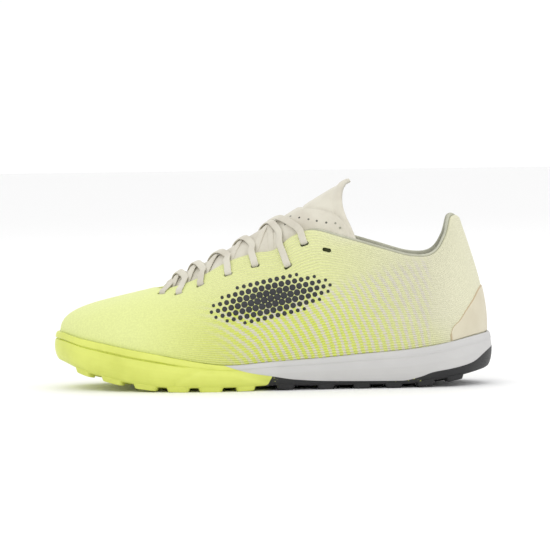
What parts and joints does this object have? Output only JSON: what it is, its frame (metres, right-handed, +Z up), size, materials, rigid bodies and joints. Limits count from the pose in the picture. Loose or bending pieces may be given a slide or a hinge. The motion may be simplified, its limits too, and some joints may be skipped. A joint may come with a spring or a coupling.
{
  "type": "football shoe",
  "caption": "Left low-top football shoe for artificial turf, with a lime knitted upper, flat cream lace, white foam midsole and lime and black studded rubber outsole",
  "frame": {"origin": "On the ground, under the middle of the shoe's box", "axes": "+X runs from the toe to the heel, +Y points to the medial side, +Z is up"},
  "size_m": [0.29, 0.103, 0.1361],
  "materials": {
    "lime_rubber": "satin moulded",
    "black_rubber": "satin moulded",
    "white_foam": "matte moulded foam",
    "lime_knit": "ribbed coated knit",
    "cream_knit": "soft knit and flat woven lace",
    "beige_film": "satin film",
    "grey_lining": "brushed lining"
  },
  "bodies": {
    "root": {"outsole_front": "lime_rubber", "outsole_rear": "black_rubber", "midsole": "white_foam", "upper": "lime_knit", "insole": "grey_lining", "heel_counter": "beige_film", "tongue": "cream_knit", "lace": "cream_knit"}
  },
  "joints": []
}
